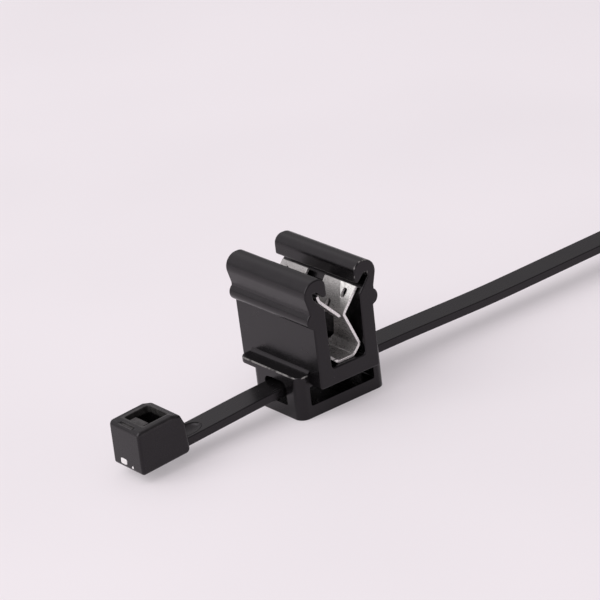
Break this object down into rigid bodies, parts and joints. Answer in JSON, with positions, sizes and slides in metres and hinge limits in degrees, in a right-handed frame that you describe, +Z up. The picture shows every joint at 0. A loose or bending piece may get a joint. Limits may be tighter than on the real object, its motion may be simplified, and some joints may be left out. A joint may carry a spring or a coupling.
{
  "type": "cable tie mount",
  "caption": "Edge clip with a hooked jaw and a bent steel spring liner, on a slotted saddle that a cable tie is threaded through to hold a wire bundle to a panel edge",
  "frame": {"origin": "middle of the saddle's underside, on the floor", "axes": "+X along the tie towards its tail, +Y along the jaw towards its rear end, +Z up out of the jaw's mouth"},
  "size_m": [0.2006, 0.02, 0.0235],
  "materials": {
    "clip_plastic": "satin moulded black nylon",
    "spring_steel": "bare rolled sheet, lightly mottled",
    "tie_plastic": "satin moulded black nylon"
  },
  "bodies": {
    "root": {"clip_body": "clip_plastic", "spring_insert": "spring_steel", "cable_tie": "tie_plastic"}
  },
  "joints": []
}
